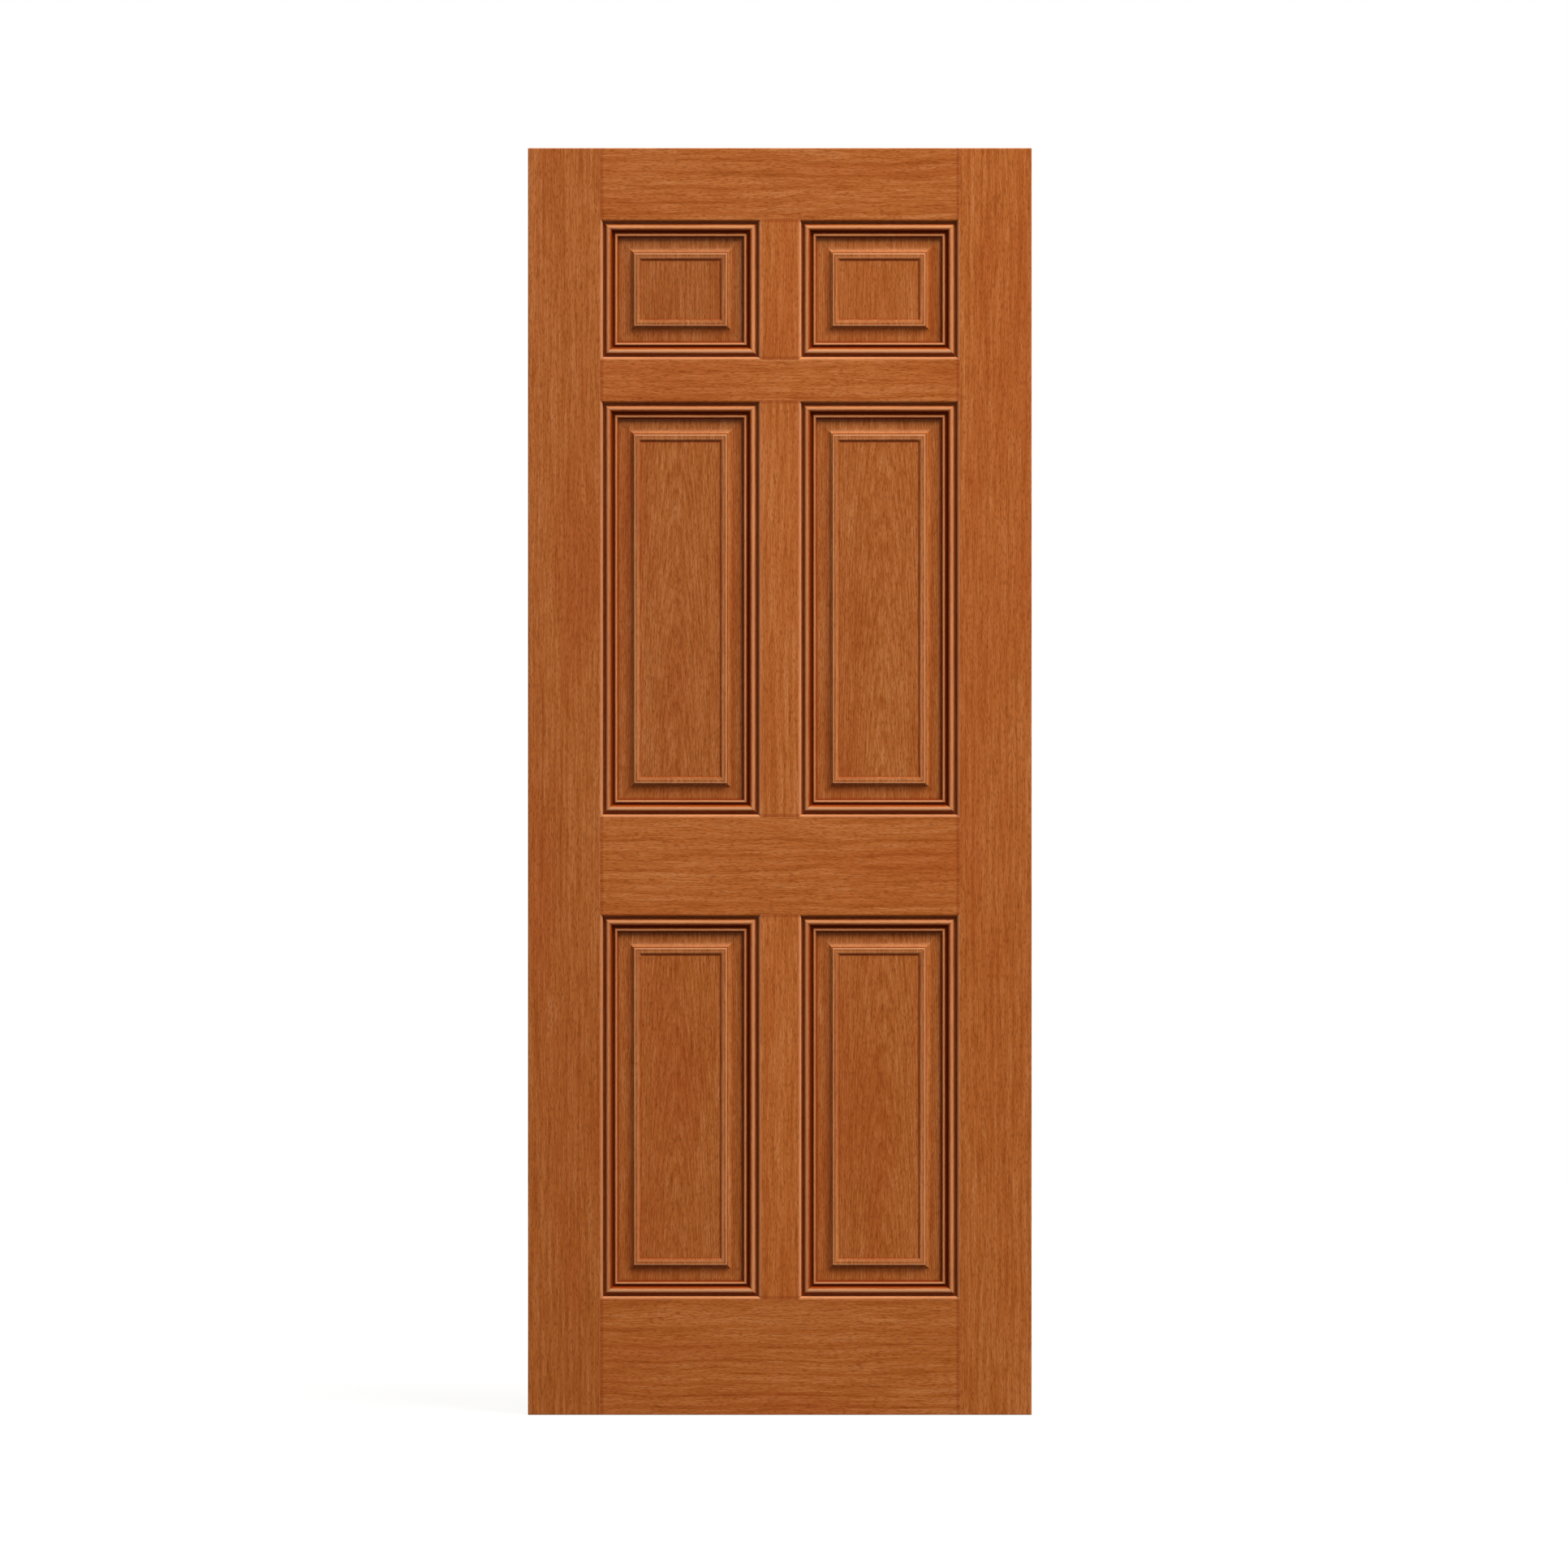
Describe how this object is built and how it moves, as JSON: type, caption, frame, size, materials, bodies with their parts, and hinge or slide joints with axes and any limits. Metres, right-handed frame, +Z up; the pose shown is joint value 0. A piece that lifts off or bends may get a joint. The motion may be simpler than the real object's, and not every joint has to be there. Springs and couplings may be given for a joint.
{
  "type": "exterior door leaf",
  "caption": "Stained timber door leaf of coped and dowelled stiles, rails and mullions, with raised panels, a sunk field in each, and mitred bead mouldings on both faces.",
  "frame": {"origin": "middle of the bottom edge, halfway through the leaf's thickness", "axes": "+X to the right as the front face is seen, +Y through the leaf from front to back, +Z up"},
  "size_m": [0.808, 0.0446, 2.032],
  "materials": {
    "stile_timber": "stained, satin varnish",
    "rail_timber": "stained, satin varnish",
    "mullion_timber": "stained, satin varnish",
    "panel_timber": "stained, satin varnish",
    "moulding_timber": "stained, satin varnish",
    "dowel_timber": "bare"
  },
  "bodies": {
    "root": {"left_stile": "stile_timber", "right_stile": "stile_timber", "top_rail": "rail_timber", "frieze_rail": "rail_timber", "lock_rail": "rail_timber", "bottom_rail": "rail_timber", "top_mullion": "mullion_timber", "middle_mullion": "mullion_timber", "bottom_mullion": "mullion_timber", "top_left_panel": "panel_timber", "top_right_panel": "panel_timber", "middle_left_panel": "panel_timber", "middle_right_panel": "panel_timber", "bottom_left_panel": "panel_timber", "bottom_right_panel": "panel_timber", "top_left_front_moulding": "moulding_timber", "top_left_back_moulding": "moulding_timber", "top_right_front_moulding": "moulding_timber", "top_right_back_moulding": "moulding_timber", "middle_left_front_moulding": "moulding_timber", "middle_left_back_moulding": "moulding_timber", "middle_right_front_moulding": "moulding_timber", "middle_right_back_moulding": "moulding_timber", "bottom_left_front_moulding": "moulding_timber", "bottom_left_back_moulding": "moulding_timber", "bottom_right_front_moulding": "moulding_timber", "bottom_right_back_moulding": "moulding_timber", "top_rail_dowels": "dowel_timber", "frieze_rail_dowels": "dowel_timber", "lock_rail_dowels": "dowel_timber", "bottom_rail_dowels": "dowel_timber", "top_mullion_dowels": "dowel_timber", "middle_mullion_dowels": "dowel_timber", "bottom_mullion_dowels": "dowel_timber"}
  },
  "joints": []
}
